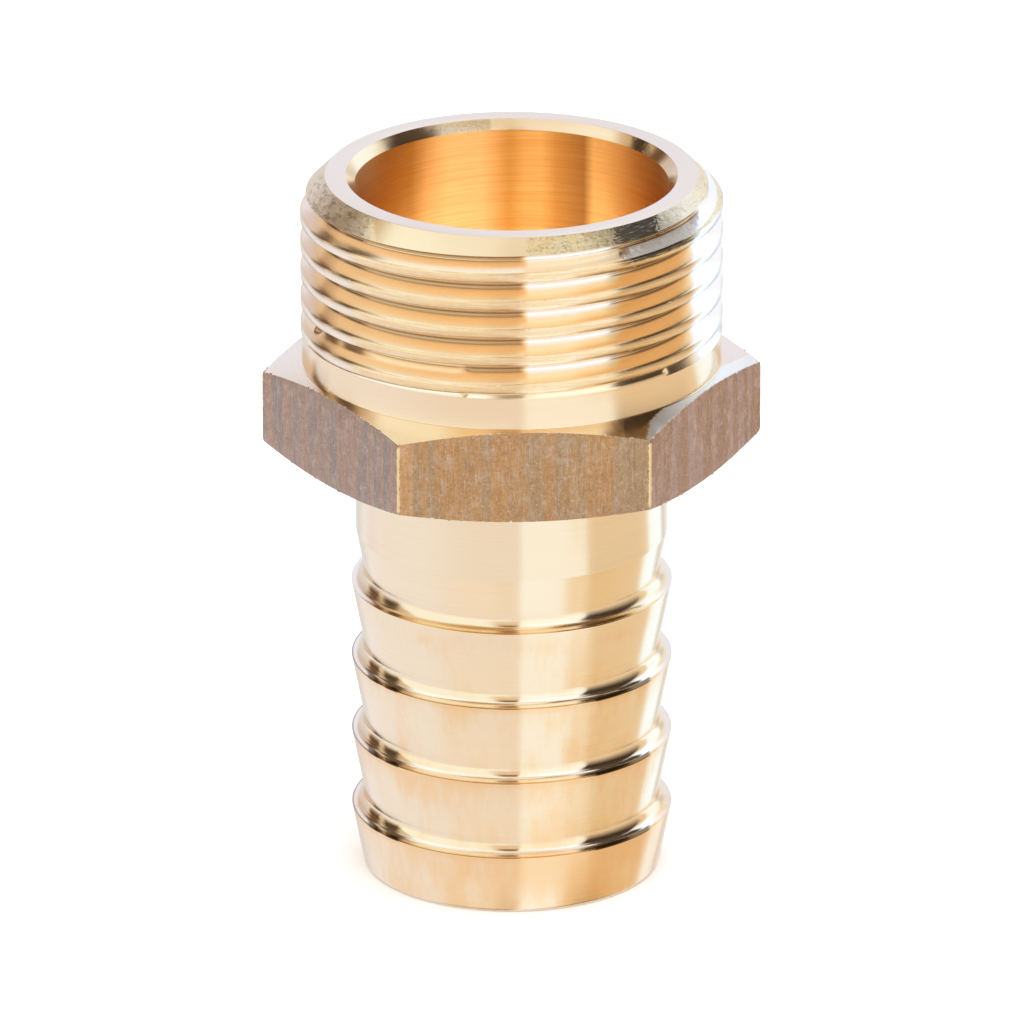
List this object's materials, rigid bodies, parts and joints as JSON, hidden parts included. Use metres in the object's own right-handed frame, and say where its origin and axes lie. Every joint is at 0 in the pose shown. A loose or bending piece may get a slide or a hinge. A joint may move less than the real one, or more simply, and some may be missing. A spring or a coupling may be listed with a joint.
{
  "type": "threaded hose nipple",
  "caption": "Turned brass hose nipple with a male pipe thread, a spanner hexagon and a ribbed hose tail, bored right through.",
  "frame": {"origin": "centre of the hose end's face, which the fitting stands on", "axes": "+Z along the flow passage towards the threaded end, +Y square to one pair of the hexagon's flats, +X through two of its corners"},
  "size_m": [0.0312, 0.027, 0.0457],
  "materials": {
    "turned_brass": "bright turned brass with dull drawn bar left on the hexagon's flats"
  },
  "bodies": {
    "root": {"hose_nipple": "turned_brass"}
  },
  "joints": []
}
